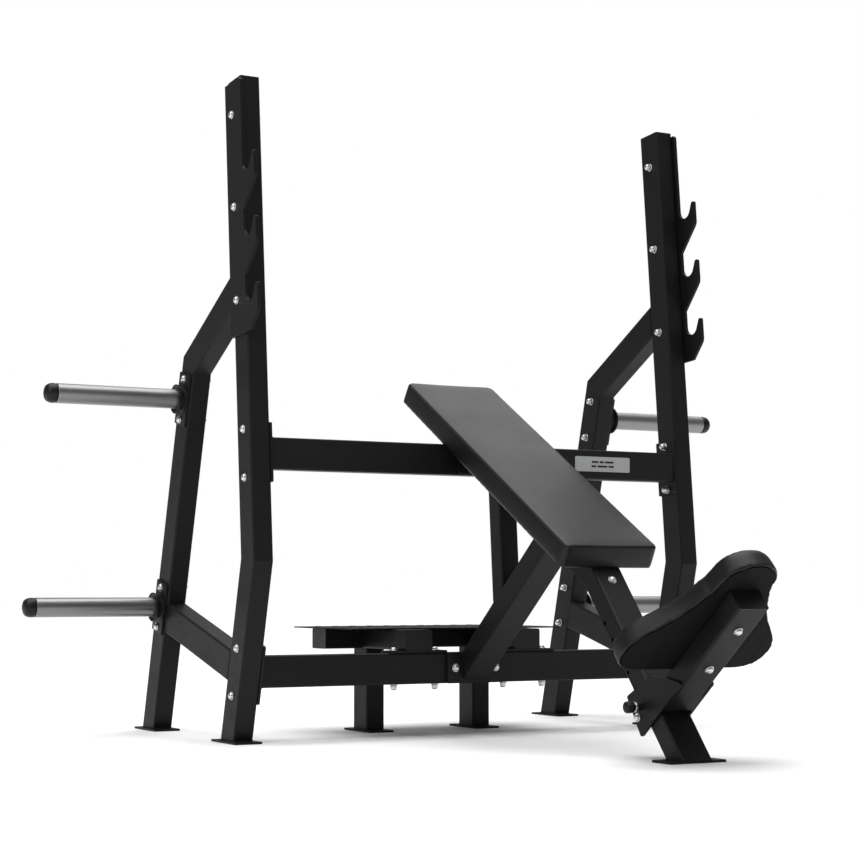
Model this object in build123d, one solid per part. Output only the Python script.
from build123d import *
from math import cos, radians, sin, tan
import os

# Olympic incline bench: two uprights with bar cups, rear legs with plate pegs,
# a fixed inclined back pad, a sliding seat and a spotter platform.
# Millimetres. X is across the bench, +Y to the back, +Z up.

# --- tube stock and plate ---------------------------------------------------------
tube_narrow = 50.0
tube_deep = 75.0
tube_wall = 3.0
tube_corner = 5.0
plate_thin = 6.0
plate_thick = 8.0

# --- side frames -------------------------------------------------------------------
upright_spacing = 1210.0          # centre to centre
base_lean = -14.4                 # degrees back from vertical; minus leans forward
post_lean = 4.8
bend_height = 420.0
post_length = 1154.5
leg_lean = -15.0
leg_front_at_floor = 500.4
leg_length = 916.0
diagonal_lean = -60.5
side_rail_lean = 75.0
side_rail_top = (200.0, 262.0)    # a point (y, z) on the side rail's top face
foot_length = 145.0
foot_width = 70.0
foot_thickness = 5.0
floor_level = -3.0                # all heights here are from a datum just above the floor

# --- crossbars ---------------------------------------------------------------------
crossbar_height = 75.0
crossbar_depth = 50.0
upper_bar_height = 670.0
lower_bar_height = 163.0
end_plate_height = 140.0
bolt_spacing = 114.0              # every bolted plate but the peg flanges
label_size = (167.0, 38.0)
label_height = 671.5
label_centre_x = 350.0

# --- bar hooks ---------------------------------------------------------------------
hook_pitch = 157.0
hook_lowest = 600.5               # lowest cup's bottom, along the post from the bend
hook_proud = 11.0                 # front strip stands this far out of the post
hook_reach = 77.5
hook_rise = 37.0                  # tip above the cup's bottom
cup_radius = 23.5
hook_plate_from = 532.7
hook_plate_to = 1149.0
hook_bolts_along_post = (617.0, 842.5, 1068.0)

# --- plate storage pegs ------------------------------------------------------------
peg_radius = 24.15
peg_wall = 3.2
peg_spigot_radius = 23.8          # the end inside the collar is turned down
peg_length = 325.0
peg_cap_radius = 23.6
peg_cap_length = 29.0
peg_along_leg = (310.9, 844.6)
peg_flange_size = (65.0, 130.0)
peg_bolt_spacing = 102.0
collar_radius = 36.0
collar_hub_radius = 28.0
collar_offset = 14.0
collar_thickness = 4.0

# --- spotter platform --------------------------------------------------------------
deck_size = (600.0, 338.0)
deck_front = 36.0
deck_thickness = 3.0
tread_pitch = 50.0
tread_hole_radius = 7.0
bearer_x = 155.0
bearer_front = -28.0
bearer_flange = (160.0, 50.0)
cross_tube_length = 588.0
post_front = 193.5

# --- bench -------------------------------------------------------------------------
rail_front_at_floor = -941.3
rail_lean = 39.6
rail_length = 521.7
pad_lean = 59.6
pad_length = 845.0
pad_width = 250.0
pad_thickness = 57.0
pad_overhang = 3.0
board_thickness = 12.0
board_inset = 6.0
pad_corner = 14.0
brace_lean = -50.5
brace_foot = (-40.0, 134.0)       # where its lower face meets the foot plate
brace_deep = 56.0
strut_lean = 4.2
strut_front = (-208.7, 350.0)
back_pad_bolts_along_spine = (80.0, 290.0, 440.0)
brace_plate = (160.0, 75.0)
spine_plate = (150.0, 66.0)
stop_bolt_along_rail = 486.7

# --- seat --------------------------------------------------------------------------
seat_along_rail = 123.6           # rest position of the carriage, from the floor
side_clearance = 0.5
seat_tube_from = 56.4
seat_tube_to = 343.4
seat_bolts_along_tube = (151.0, 276.0)
seat_rear = 82.0
seat_front = 421.0
guide_bush_radius = 15.3
guide_bolt_at = (-66.0, 40.0)     # ahead of the rail's front face, up the rail
pull_pin_at = (-41.0, 49.0)
pull_pin_radius = 4.0
pin_boss = 20.0
pin_hole_pitch = 45.0
pin_holes_below = 1
pin_holes_above = 5
knob_radius = 13.0
knob_length = 20.0

# --- fasteners ---------------------------------------------------------------------
bolt_radius = 4.9
hole_radius = 5.5
head_radius = 8.2
head_height = 6.2
washer_radius = 10.0
washer_height = 1.8
nut_radius = 9.4
nut_height = 6.0
nut_dome = 7.0
nut_hole_radius = 5.0
bolt_past_nut_seat = 9.0

upright_x = upright_spacing / 2
outer_x = upright_x + tube_narrow / 2
foot_top = floor_level + foot_thickness
inner_x = upright_x - tube_narrow / 2
front_bolts_x = (-bolt_spacing / 2, bolt_spacing / 2)
sides = {"left": -1, "right": 1}


# --- geometry helpers --------------------------------------------------------------
class Run:
    """A straight run in the YZ plane: distance along it, and back from its front face."""

    def __init__(self, y, z, lean):
        self.y, self.z = y, z
        self.sine, self.cosine = sin(radians(lean)), cos(radians(lean))

    def at(self, along, back=0.0, x=0.0):
        y = self.y + along * self.sine + back * self.cosine
        z = self.z + along * self.cosine - back * self.sine
        return Vector(x, y, z)

    def along_dir(self):
        return Vector(0, self.sine, self.cosine)

    def back_dir(self):
        return Vector(0, self.cosine, -self.sine)

    def section(self, along, back=0.0, x=0.0):
        """A plane across the run: local x is across the bench, local y is back."""
        return Plane(origin=self.at(along, back, x), x_dir=(1, 0, 0), z_dir=self.along_dir())

    def side(self, x=0.0):
        """A plane along the run: local x is back, local y is along, normal is +X."""
        return Plane(origin=self.at(0, 0, x), x_dir=self.back_dir(), z_dir=(1, 0, 0))


def tube_section(wide, deep):
    inner = RectangleRounded(wide - 2 * tube_wall, deep - 2 * tube_wall, tube_corner - tube_wall)
    return RectangleRounded(wide, deep, tube_corner) - inner


def tube(run, start, end, x=0.0, wide=tube_narrow, deep=tube_deep):
    return extrude(run.section(start, deep / 2, x) * tube_section(wide, deep), end - start)


def tube_along(start, direction, length, wide, deep, x_dir):
    plane = Plane(origin=start, x_dir=x_dir, z_dir=direction)
    return extrude(plane * tube_section(wide, deep), length)


def trim(shape, point, outward):
    """Cut away what lies beyond the plane through point, on the outward side."""
    return split(shape, bisect_by=Plane(origin=point, z_dir=outward), keep=Keep.BOTTOM)


def mitre(shape, point, first, second, sign):
    direction = (first.along_dir() + second.along_dir()).normalized()
    return trim(shape, point, direction * sign)


def x_rod(point, radius, x_from, x_to):
    plane = Plane(origin=(min(x_from, x_to), point.Y, point.Z), z_dir=(1, 0, 0))
    return extrude(plane * Circle(radius), abs(x_to - x_from))


def rounded_plate(plane, width, height, thickness, corner=4.0):
    return extrude(plane * RectangleRounded(width, height, corner), thickness)


def domed(radius, height, crown, foot=0.0):
    """A cylinder standing on the XY plane with its top edge rounded, and its foot too if asked."""
    shape = Cylinder(radius, height, align=(Align.CENTER, Align.CENTER, Align.MIN))
    rims = shape.edges().filter_by(GeomType.CIRCLE).sort_by(Axis.Z)
    shape = fillet(rims[-1], crown)
    return fillet(shape.edges().sort_by(Axis.Z)[0], foot) if foot else shape


def bolt(seat, outward, length):
    """Dome head on its washer at seat; the shank runs the other way."""
    washer = extrude(Circle(washer_radius), washer_height)
    head = Pos(0, 0, washer_height) * domed(head_radius, head_height, 0.8 * head_height)
    shank = extrude(Circle(bolt_radius), -length)
    return Plane(origin=seat, z_dir=outward) * (washer + head + shank)


def cap_nut(seat, outward):
    """Cap nut on its washer at seat, drilled for the bolt's end."""
    washer = extrude(Circle(washer_radius), washer_height)
    hexagon = Pos(0, 0, washer_height) * extrude(RegularPolygon(nut_radius, 6), nut_height)
    dome = Pos(0, 0, washer_height + nut_height) * domed(nut_radius - 2, nut_dome, 0.8 * nut_dome)
    bore = extrude(Circle(nut_hole_radius), bolt_past_nut_seat + 0.5)
    return Plane(origin=seat, z_dir=outward) * (washer + hexagon + dome - bore)


# --- the runs that place everything ------------------------------------------------
base_run = Run(0.0, 0.0, base_lean)
bend = base_run.at(bend_height / cos(radians(base_lean)))
post_run = Run(bend.Y, bend.Z, post_lean)
leg_run = Run(leg_front_at_floor, 0.0, leg_lean)
leg_bend = leg_run.at(leg_length)
diagonal_run = Run(leg_bend.Y, leg_bend.Z, diagonal_lean)
side_rail_run = Run(*side_rail_top, side_rail_lean)
rail_run = Run(rail_front_at_floor, 0.0, rail_lean)
spine_start = rail_run.at(rail_length)
spine_run = Run(spine_start.Y, spine_start.Z, pad_lean)
brace_run = Run(*brace_foot, brace_lean)
strut_run = Run(*strut_front, strut_lean)
seat_zero = rail_run.at(seat_along_rail)
seat_run = Run(seat_zero.Y, seat_zero.Z, rail_lean - 90.0)

half_deep = tube_deep / 2
half_bar = crossbar_height / 2


def along_at_height(run, height, back):
    return (height - run.z + back * run.sine) / run.cosine


upper_bar_along = along_at_height(post_run, upper_bar_height, half_deep)
lower_bar_along = along_at_height(base_run, lower_bar_height, half_deep)


def bar_front(run, height):
    """A crossbar's front stays level with the upright's front where that is furthest back."""
    return run.at(along_at_height(run, height, 0.0)).Y


upper_bar_front = bar_front(post_run, upper_bar_height + half_bar)
lower_bar_front = bar_front(base_run, lower_bar_height - half_bar)
upper_bar_y = upper_bar_front + crossbar_depth / 2
lower_bar_y = lower_bar_front + crossbar_depth / 2
lower_bar_top = lower_bar_height + half_bar
flange_top = lower_bar_top + plate_thin
deck_underside = flange_top + tube_narrow


def bolt_pair(run, centre_along, back=half_deep, spacing=bolt_spacing):
    return [run.at(centre_along + side * spacing / 2, back) for side in (-1, 1)]


upright_bolts_upper = bolt_pair(post_run, upper_bar_along)
upright_bolts_lower = bolt_pair(base_run, lower_bar_along)
hook_bolt_points = [post_run.at(along, half_deep) for along in hook_bolts_along_post]
peg_bolt_points = [p for a in peg_along_leg for p in bolt_pair(leg_run, a, spacing=peg_bolt_spacing)]


def foot_centre(run, depth):
    """Where a leaning tube's middle meets the top of its foot plate."""
    return run.at(along_at_height(run, foot_top, depth / 2), depth / 2).Y


def foot_plate(x, y, width, length):
    return rounded_plate(Plane(origin=(x, y, floor_level)), width, length, foot_thickness, 6.0)


def make_foot_plates():
    plates = []
    for side in sides.values():
        for x, y in ((upright_x, foot_centre(base_run, tube_deep)),
                     (upright_x, foot_centre(leg_run, tube_deep)),
                     (bearer_x, post_front + half_deep)):
            plates.append(foot_plate(side * x, y, foot_width, foot_length))
    return plates + [foot_plate(0, foot_centre(rail_run, tube_narrow), foot_length, foot_width)]


def drill_x(shape, points, x, radius=hole_radius, reach=60.0):
    for point in points:
        shape -= x_rod(point, radius, x - reach, x + reach)
    return shape


# --- side frames -------------------------------------------------------------------
def make_base(x):
    shape = tube(base_run, -40, 480, x)
    shape = trim(shape, (0, 0, foot_top), (0, 0, -1))
    shape = mitre(shape, bend, base_run, post_run, 1)
    return drill_x(shape, upright_bolts_lower, x)


def make_post(x):
    shape = tube(post_run, -40, post_length, x)
    shape = mitre(shape, bend, base_run, post_run, -1)
    return drill_x(shape, upright_bolts_upper + hook_bolt_points, x)


def make_leg(x):
    shape = tube(leg_run, -40, leg_length + 80, x)
    shape = trim(shape, (0, 0, foot_top), (0, 0, -1))
    shape = mitre(shape, leg_bend, leg_run, diagonal_run, 1)
    return drill_x(shape, peg_bolt_points, x)


def make_diagonal(x):
    shape = tube(diagonal_run, -80, 420, x)
    shape = mitre(shape, leg_bend, leg_run, diagonal_run, -1)
    return trim(shape, post_run.at(0, tube_deep), -post_run.back_dir())


def make_side_rail(x):
    shape = tube(side_rail_run, -320, 320, x)
    shape = trim(shape, base_run.at(0, tube_deep), -base_run.back_dir())
    return trim(shape, leg_run.at(0, 0), leg_run.back_dir())


def hook_outline():
    """Bar hook in the post's side plane: x is back from the post's front, y is along it."""
    corner = 22.0
    foot_drop = hook_reach - hook_proud + 24.0
    body = make_face(Polyline(
        (0, -foot_drop), (-hook_proud, -foot_drop), (-hook_reach, -24.0),
        (-hook_reach, hook_rise), (0, hook_rise), close=True))
    lower_corner = body.vertices().sort_by_distance((-hook_reach, -24.0))[0]
    body = fillet(lower_corner, corner)
    centre_x = -(hook_proud + cup_radius)
    flank = radians(25)
    flank_x = centre_x - cup_radius * cos(flank)
    flank_y = cup_radius * (1 - sin(flank))
    top = hook_rise + 15.0
    mouth = make_face(Polyline(
        (-hook_proud, cup_radius), (centre_x, cup_radius), (flank_x, flank_y),
        (flank_x - (top - flank_y) * tan(flank), top), (-hook_proud, top), close=True))
    body -= Pos(centre_x, cup_radius) * Circle(cup_radius) + mouth
    tips = body.vertices().filter_by(lambda v: v.X < centre_x and v.Y > hook_rise - 0.5)
    return fillet(tips, 4.5)


def make_hook_plate(side):
    outline = Pos((tube_deep - hook_proud) / 2, (hook_plate_from + hook_plate_to) / 2) * Rectangle(
        tube_deep + hook_proud, hook_plate_to - hook_plate_from)
    front_corners = outline.vertices().filter_by(lambda v: v.X < 0 and v.Y > hook_plate_to - 1)
    outline = chamfer(front_corners, 6.0)
    for number in range(3):
        outline += Pos(0, hook_lowest + number * hook_pitch) * hook_outline()
    keep = Pos(0, (hook_plate_from + hook_plate_to) / 2) * Rectangle(400, hook_plate_to - hook_plate_from)
    outline &= keep
    start = outer_x if side > 0 else -outer_x - plate_thick
    plate = extrude(post_run.side(start) * outline, plate_thick)
    rims = plate.edges().filter_by(GeomType.LINE).filter_by(lambda e: abs(e.tangent_at(0.5).X) < 0.1)
    plate = chamfer(rims.filter_by(lambda e: e.length > 20), 0.8)
    return drill_x(plate, hook_bolt_points, side * outer_x)


# --- crossbars ---------------------------------------------------------------------
def make_crossbar(y, z, drill_down=()):
    half_length = inner_x - plate_thin
    start = (-half_length, y, z)
    shape = tube_along(start, (1, 0, 0), 2 * half_length, crossbar_depth, crossbar_height, (0, 1, 0))
    for x in drill_down:
        shape -= Pos(x, y, z) * Cylinder(hole_radius, 2 * crossbar_height)
    return drill_front(shape, z)


def drill_front(shape, z):
    """The pair of holes that bolts the bench to a crossbar."""
    for x in front_bolts_x:
        shape -= Pos(x, 0, z) * Rot(90, 0, 0) * Cylinder(hole_radius, 400)
    return shape


def make_end_plates(run, along):
    plates = []
    for x in (-inner_x, inner_x - plate_thin):
        plane = run.side(x) * Pos(half_deep, along)
        plate = rounded_plate(plane, tube_deep, end_plate_height, plate_thin)
        plates.append(drill_x(plate, bolt_pair(run, along), x))
    return plates


def make_label():
    plane = Plane(origin=(label_centre_x, upper_bar_front, label_height), x_dir=(1, 0, 0), z_dir=(0, -1, 0))
    return rounded_plate(plane, *label_size, 1.2, 3.0)


# --- plate storage -----------------------------------------------------------------
def peg_centre(level):
    return leg_run.at(peg_along_leg[level], half_deep)


def along_x(side, point, offset):
    return Plane(origin=(side * (outer_x + offset), point.Y, point.Z), z_dir=(side, 0, 0))


def make_peg_mount(side, level):
    point = peg_centre(level)
    start = outer_x if side > 0 else -outer_x - plate_thin
    plane = leg_run.side(start) * Pos(half_deep, peg_along_leg[level])
    flange = rounded_plate(plane, *peg_flange_size, plate_thin, 6.0)
    flange = drill_x(flange, bolt_pair(leg_run, peg_along_leg[level], spacing=peg_bolt_spacing), side * outer_x)
    hub_end = plate_thin + collar_offset
    hub = extrude(along_x(side, point, plate_thin) * Circle(collar_hub_radius), collar_offset)
    collar = extrude(along_x(side, point, hub_end) * Circle(collar_radius), collar_thickness, taper=25)
    bore = extrude(along_x(side, point, plate_thin) * Circle(peg_spigot_radius + 0.05), 60)
    return flange + hub + collar - bore


def make_peg_tube(side, level):
    hidden = collar_offset + collar_thickness
    bore = Circle(peg_radius - peg_wall)
    spigot = extrude(Circle(peg_spigot_radius) - bore, hidden)
    peg = extrude(Pos(0, 0, hidden) * (Circle(peg_radius) - bore), peg_length - hidden)
    return along_x(side, peg_centre(level), plate_thin) * (spigot + peg)


def make_peg_cap(side, level):
    plug = extrude(Circle(peg_radius - peg_wall - 0.1), -20)
    cap = plug + domed(peg_cap_radius, peg_cap_length, 14.0, 3.0)
    return along_x(side, peg_centre(level), plate_thin + peg_length) * cap


# --- spotter platform --------------------------------------------------------------
def make_deck():
    width, depth = deck_size
    plane = Plane(origin=(0, deck_front + depth / 2, deck_underside))
    deck = rounded_plate(plane, width, depth, deck_thickness, 6.0)
    columns = int(width // tread_pitch) - 1
    rows = int(depth // tread_pitch)
    holes = [Pos(spot.position) * Cylinder(tread_hole_radius, 4 * deck_thickness)
             for spot in plane * GridLocations(tread_pitch, tread_pitch, columns, rows)]
    return deck - holes


def make_cross_tube():
    start = (-cross_tube_length / 2, post_front + half_deep, flange_top + tube_narrow / 2)
    return tube_along(start, (1, 0, 0), cross_tube_length, tube_deep, tube_narrow, (0, 1, 0))


def make_bearer(side):
    start = (side * bearer_x, bearer_front, flange_top + tube_narrow / 2)
    return tube_along(start, (0, 1, 0), post_front - bearer_front, tube_deep, tube_narrow, (1, 0, 0))


def make_bearer_flange(side):
    plane = Plane(origin=(side * bearer_x, lower_bar_y, lower_bar_top))
    flange = rounded_plate(plane, *bearer_flange, plate_thin)
    for x in bearer_bolts_x(side):
        flange -= Pos(x, lower_bar_y, lower_bar_top) * Cylinder(hole_radius, 40)
    return flange


def bearer_bolts_x(side):
    return [side * bearer_x + end * bolt_spacing / 2 for end in (-1, 1)]


def make_deck_post(side):
    centre_y = post_front + half_deep
    start = (side * bearer_x, centre_y, foot_top)
    return tube_along(start, (0, 0, 1), flange_top - foot_top, tube_narrow, tube_deep, (1, 0, 0))


# --- bench -------------------------------------------------------------------------
def make_slide_rail():
    shape = tube(rail_run, -60, rail_length + 80, 0, tube_deep, tube_narrow)
    shape = trim(shape, (0, 0, foot_top), (0, 0, -1))
    shape = mitre(shape, spine_start, rail_run, spine_run, 1)
    for number in range(-pin_holes_below, pin_holes_above + 1):
        along = seat_along_rail + pull_pin_at[1] + number * pin_hole_pitch
        shape -= x_rod(rail_run.at(along, -pull_pin_at[0]), pull_pin_radius + 0.6, -tube_deep, 0)
    shape -= rail_run.section(stop_bolt_along_rail) * Rot(90, 0, 0) * Cylinder(hole_radius, 20)
    return shape


def make_spine():
    shape = tube(spine_run, -60, 900, 0, tube_deep, tube_narrow)
    shape = mitre(shape, spine_start, rail_run, spine_run, -1)
    plate_front = upper_bar_front - plate_thick
    shape = trim(shape, (0, plate_front, 0), (0, 1, 0))
    for along in back_pad_bolts_along_spine:
        shape -= spine_run.section(along) * Rot(90, 0, 0) * Cylinder(hole_radius, 200)
    return shape


def make_brace():
    shape = tube(brace_run, -80, 620, 0, tube_deep, brace_deep)
    shape = trim(shape, (0, lower_bar_front - plate_thick, 0), (0, 1, 0))
    return trim(shape, spine_run.at(0, tube_narrow), -spine_run.back_dir())


def make_bench_plate(front, height, size):
    """The plate that bolts the brace or the spine to a crossbar's front."""
    plane = Plane(origin=(0, front, height), x_dir=(1, 0, 0), z_dir=(0, -1, 0))
    return drill_front(rounded_plate(plane, *size, plate_thick), height)


def make_strut():
    shape = tube(strut_run, -140, 320, 0, tube_narrow, tube_narrow)
    shape = trim(shape, brace_run.at(0, brace_deep), -brace_run.back_dir())
    return trim(shape, spine_run.at(0, tube_narrow), -spine_run.back_dir())


def spine_top_plane(along):
    """On the spine's top face: local x across, local y up the spine, normal out of the pad."""
    return Plane(origin=spine_run.at(along), x_dir=(1, 0, 0), z_dir=-spine_run.back_dir())


def make_back_board():
    plane = spine_top_plane(pad_length / 2 - pad_overhang)
    inset = 2 * board_inset
    board = rounded_plate(plane, pad_width - inset, pad_length - inset, board_thickness, pad_corner - 4)
    for along in back_pad_bolts_along_spine:
        board -= spine_top_plane(along) * Cylinder(bolt_radius, 2 * board_thickness)
    return board


def make_back_pad():
    plane = spine_top_plane(pad_length / 2 - pad_overhang)
    pad = rounded_plate(plane, pad_width, pad_length, pad_thickness, pad_corner)
    pad = fillet(pad.faces().sort_by(Axis(spine_start, -spine_run.back_dir()))[-1].edges(), 6.0)
    inset = 2 * board_inset
    return pad - rounded_plate(plane, pad_width - inset, pad_length - inset, board_thickness, pad_corner - 4)


# --- seat carriage -----------------------------------------------------------------
def seat_plane(x=0.0):
    """Along the seat: local x is up the rail, local y is forward along the seat tube."""
    return seat_run.side(x)


plate_inner_x = half_deep + side_clearance
plate_outer_x = plate_inner_x + plate_thin


def make_side_plate(side):
    outline = make_face(Polyline((0, -83), (0, 105), (39, 70), (79, 27), (98, -70), close=True))
    outline = fillet(outline.vertices(), 5.0)
    start = plate_inner_x if side > 0 else -plate_outer_x
    plate = extrude(seat_plane(start) * outline, plate_thin)
    guide = seat_run.at(*guide_bolt_at)
    plate -= x_rod(guide, hole_radius, -90, 90)
    if side < 0:
        pin = seat_run.at(*pull_pin_at)
        plate += x_rod(pin, 8.0, -plate_outer_x - pin_boss, -plate_outer_x)
        plate -= x_rod(pin, pull_pin_radius + 0.1, -90, 0)
    return plate


def make_front_web():
    points = (seat_tube_from, 9.0)
    outline = Pos(plate_thin / 2, sum(points) / 2) * Rectangle(plate_thin, points[0] - points[1])
    return extrude(seat_plane(-plate_inner_x) * outline, 2 * plate_inner_x)


def make_slide_block():
    outline = Pos(43, 7.4) * RectangleRounded(70, 13.2, 3)
    return extrude(seat_plane(-plate_inner_x) * outline, 2 * plate_inner_x)


def make_guide_bush():
    point = seat_run.at(*guide_bolt_at)
    rod = x_rod(point, guide_bush_radius, -plate_inner_x, plate_inner_x)
    return rod - x_rod(point, bolt_radius + 0.1, -plate_inner_x, plate_inner_x)


def make_seat_tube():
    shape = tube(seat_run, seat_tube_from, seat_tube_to, 0, 2 * plate_inner_x, tube_narrow)
    for along in seat_bolts_along_tube:
        shape -= seat_run.section(along) * Rot(90, 0, 0) * Cylinder(hole_radius, 200)
    return shape


def make_seat_tube_cap():
    plane = seat_run.section(seat_tube_to, tube_narrow / 2)
    wide = 2 * plate_inner_x
    cover = extrude(plane * RectangleRounded(wide, tube_narrow, tube_corner), 2.5)
    inner = RectangleRounded(wide - 2 * tube_wall - 0.2, tube_narrow - 2 * tube_wall - 0.2, 1.9)
    return cover + extrude(plane * inner, -14)


def seat_outline(inset=0.0):
    """Half outline of the seat, wide at the rear and narrow at the front, mirrored."""
    rear, front = seat_rear + inset, seat_front - inset
    flat = Line((0, rear), (120, rear))
    shoulder = Spline((120, rear), (188 - inset, 152), (105 - inset, 271), (77 - inset, 329),
                      (67 - inset, 371), tangents=[(1, 0), (-0.15, 1)])
    nose = Spline((67 - inset, 371), (46 - inset, front - 14), (0, front), tangents=[(-0.15, 1), (-1, 0)])
    half = [flat, shoulder, nose]
    middle = Line((0, front), (0, rear))
    face = make_face(half + [middle])
    return face + mirror(face, about=Plane.YZ)


def seat_top_plane():
    """On the seat tube's upper face: local x across, local y forward, normal out of the seat."""
    origin = seat_run.at(0, tube_narrow)
    return Plane(origin=origin, x_dir=(-1, 0, 0), z_dir=seat_run.back_dir())


def make_seat_board():
    board = extrude(seat_top_plane() * seat_outline(board_inset), board_thickness)
    for along in seat_bolts_along_tube:
        board -= seat_top_plane() * Pos(0, along) * Cylinder(bolt_radius, 2 * board_thickness)
    return board


def make_seat_pad():
    pad = extrude(seat_top_plane() * seat_outline(), pad_thickness)
    return pad - extrude(seat_top_plane() * seat_outline(board_inset), board_thickness)


def make_pull_pin():
    point = seat_run.at(*pull_pin_at)
    return x_rod(point, pull_pin_radius, -plate_outer_x - pin_boss - knob_length + 2, 8 - half_deep)


def make_pin_knob():
    knob = domed(knob_radius, knob_length, 5.0, 1.5)
    knob -= extrude(Circle(pull_pin_radius), knob_length - 4)
    point = seat_run.at(*pull_pin_at)
    return Plane(origin=(-plate_outer_x - pin_boss - 2, point.Y, point.Z), z_dir=(-1, 0, 0)) * knob


# --- fasteners ---------------------------------------------------------------------
def side_bolts(points, side, head_offset):
    """Through bolts across a side tube: heads outside, cap nuts inside."""
    bolts, nuts = [], []
    for point in points:
        head = Vector(side * (outer_x + head_offset), point.Y, point.Z)
        nut = Vector(side * (inner_x - nut_seat(points)), point.Y, point.Z)
        grip = abs(head.X - nut.X)
        bolts.append(bolt(head, (side, 0, 0), grip + bolt_past_nut_seat))
        nuts.append(cap_nut(nut, (-side, 0, 0)))
    return bolts, nuts


def nut_seat(points):
    return plate_thin if points in (upright_bolts_upper, upright_bolts_lower) else 0.0


def make_frame_bolts():
    bolts, nuts = [], []
    groups = ((upright_bolts_upper, 0.0), (upright_bolts_lower, 0.0),
              (hook_bolt_points, plate_thick), (peg_bolt_points, plate_thin))
    for side in sides.values():
        for points, head_offset in groups:
            new_bolts, new_nuts = side_bolts(points, side, head_offset)
            bolts += new_bolts
            nuts += new_nuts
    return bolts, nuts


def make_long_bolts():
    """Bolts through a crossbar: the bearers' from above, the bench's from the front."""
    bolts, nuts = [], []
    for side in sides.values():
        for x in bearer_bolts_x(side):
            bolts.append(bolt((x, lower_bar_y, flange_top), (0, 0, 1),
                              plate_thin + crossbar_height + bolt_past_nut_seat))
            nuts.append(cap_nut((x, lower_bar_y, lower_bar_height - half_bar), (0, 0, -1)))
    for y, z in ((lower_bar_y, lower_bar_height), (upper_bar_y, upper_bar_height)):
        for x in front_bolts_x:
            bolts.append(bolt((x, y - crossbar_depth / 2 - plate_thick, z), (0, -1, 0),
                              plate_thick + crossbar_depth + bolt_past_nut_seat))
            nuts.append(cap_nut((x, y + crossbar_depth / 2, z), (0, 1, 0)))
    return bolts, nuts


def make_back_pad_bolts():
    length = tube_narrow + board_thickness - 1
    return [bolt(spine_run.at(along, tube_narrow), spine_run.back_dir(), length)
            for along in back_pad_bolts_along_spine]


def make_seat_pad_bolts():
    length = tube_narrow + board_thickness - 1
    return [bolt(seat_run.at(along), -seat_run.back_dir(), length) for along in seat_bolts_along_tube]


def make_guide_bolt():
    point = seat_run.at(*guide_bolt_at)
    head = Vector(-plate_outer_x, point.Y, point.Z)
    shaft = bolt(head, (-1, 0, 0), 2 * plate_outer_x + bolt_past_nut_seat)
    return shaft, cap_nut(Vector(plate_outer_x, point.Y, point.Z), (1, 0, 0))


def make_stop_bolt():
    return bolt(rail_run.at(stop_bolt_along_rail), -rail_run.back_dir(), 12)


def end_cap(plane, wide, deep):
    cover = extrude(plane * RectangleRounded(wide, deep, tube_corner), 2.5)
    inner = RectangleRounded(wide - 2 * tube_wall - 0.2, deep - 2 * tube_wall - 0.2, 1.9)
    return cover + extrude(plane * inner, -14)


def make_tube_caps():
    caps = [end_cap(post_run.section(post_length, half_deep, side * upright_x), tube_narrow, tube_deep)
            for side in sides.values()]
    middle_z = flange_top + tube_narrow / 2
    for side in sides.values():
        cross_end = Plane(origin=(side * cross_tube_length / 2, post_front + half_deep, middle_z),
                          x_dir=(0, 1, 0), z_dir=(side, 0, 0))
        caps.append(end_cap(cross_end, tube_deep, tube_narrow))
        bearer_end = Plane(origin=(side * bearer_x, bearer_front, middle_z), x_dir=(1, 0, 0), z_dir=(0, -1, 0))
        caps.append(end_cap(bearer_end, tube_deep, tube_narrow))
    return caps


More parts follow.
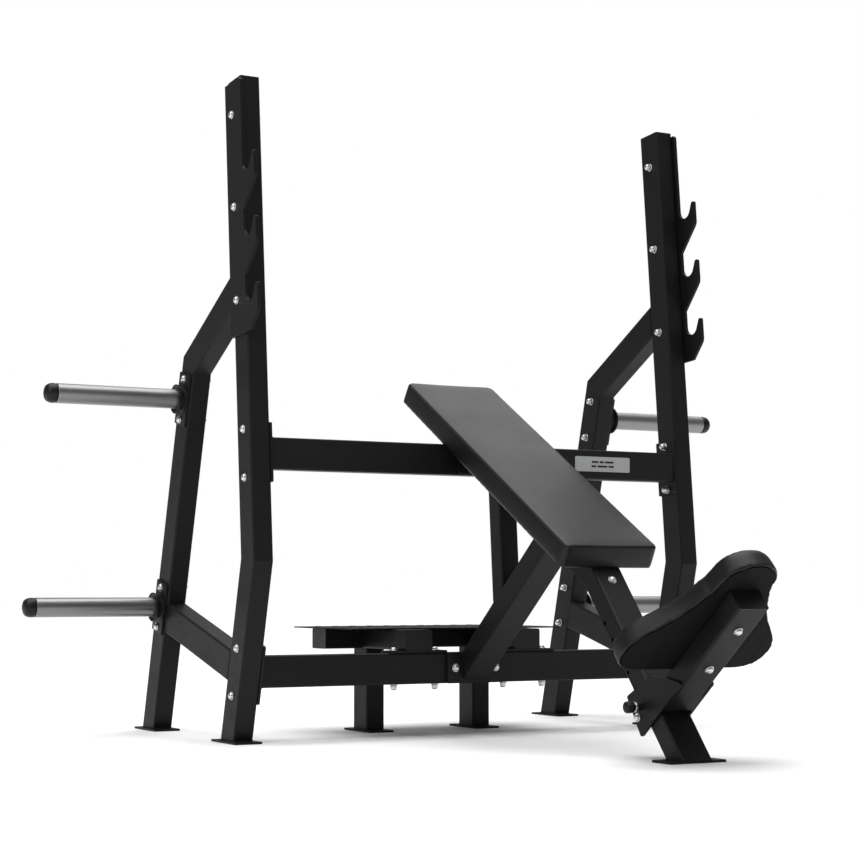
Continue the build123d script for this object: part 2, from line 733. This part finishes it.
# --- the whole bench ---------------------------------------------------------------
def make_all():
    nodes = {}
    for name, side in sides.items():
        x = side * upright_x
        nodes[f"upright_base_{name}"] = make_base(x)
        nodes[f"upright_post_{name}"] = make_post(x)
        nodes[f"rear_leg_{name}"] = make_leg(x)
        nodes[f"rear_diagonal_{name}"] = make_diagonal(x)
        nodes[f"side_rail_{name}"] = make_side_rail(x)
        nodes[f"hook_plate_{name}"] = make_hook_plate(side)
        nodes[f"deck_bearer_{name}"] = make_bearer(side)
        nodes[f"deck_post_{name}"] = make_deck_post(side)
        nodes[f"seat_side_plate_{name}"] = make_side_plate(side)
        for level, height in enumerate(("lower", "upper")):
            nodes[f"peg_mount_{height}_{name}"] = make_peg_mount(side, level)
            nodes[f"peg_tube_{height}_{name}"] = make_peg_tube(side, level)
            nodes[f"peg_cap_{height}_{name}"] = make_peg_cap(side, level)
    bearer_holes = [x for side in sides.values() for x in bearer_bolts_x(side)]
    nodes["crossbar_upper"] = make_crossbar(upper_bar_y, upper_bar_height)
    nodes["crossbar_lower"] = make_crossbar(lower_bar_y, lower_bar_height, bearer_holes)
    nodes["foot_plates"] = make_foot_plates()
    nodes["bolted_plates"] = [
        *make_end_plates(post_run, upper_bar_along),
        *make_end_plates(base_run, lower_bar_along),
        *[make_bearer_flange(side) for side in sides.values()],
        make_bench_plate(lower_bar_front, lower_bar_height, brace_plate),
        make_bench_plate(upper_bar_front, upper_bar_height, spine_plate)]
    nodes["label_plate"] = make_label()
    nodes["platform_deck"] = make_deck()
    nodes["deck_cross_tube"] = make_cross_tube()
    nodes["slide_rail"] = make_slide_rail()
    nodes["pad_spine"] = make_spine()
    nodes["brace"] = make_brace()
    nodes["strut"] = make_strut()
    nodes["back_board"] = make_back_board()
    nodes["back_pad"] = make_back_pad()
    nodes["seat_front_web"] = make_front_web()
    nodes["seat_slide_block"] = make_slide_block()
    nodes["seat_guide_bush"] = make_guide_bush()
    nodes["seat_tube"] = make_seat_tube()
    nodes["seat_tube_cap"] = make_seat_tube_cap()
    nodes["seat_board"] = make_seat_board()
    nodes["seat_pad"] = make_seat_pad()
    nodes["pull_pin"] = make_pull_pin()
    nodes["pull_pin_knob"] = make_pin_knob()
    frame_bolts, frame_nuts = make_frame_bolts()
    long_bolts, long_nuts = make_long_bolts()
    nodes["frame_bolts"] = frame_bolts + long_bolts
    nodes["frame_nuts"] = frame_nuts + long_nuts
    nodes["back_pad_bolts"] = make_back_pad_bolts()
    nodes["seat_pad_bolts"] = make_seat_pad_bolts()
    nodes["guide_bolt_and_nut"] = list(make_guide_bolt())
    nodes["rail_stop_bolt"] = make_stop_bolt()
    nodes["tube_end_caps"] = make_tube_caps()
    return nodes


def as_one(shape):
    return Compound(children=list(shape)) if isinstance(shape, list) else shape


def main():
    nodes = {name: as_one(shape) for name, shape in make_all().items()}
    box = Compound(list(nodes.values())).bounding_box()
    middle_y = (box.min.Y + box.max.Y) / 2
    print("nodes", len(nodes), "size", box.size, "middle y before centring", round(middle_y, 4))
    os.makedirs("parts", exist_ok=True)
    for name, shape in nodes.items():
        export_step(Pos(0, -middle_y, -floor_level) * shape, f"parts/{name}.step")


main()
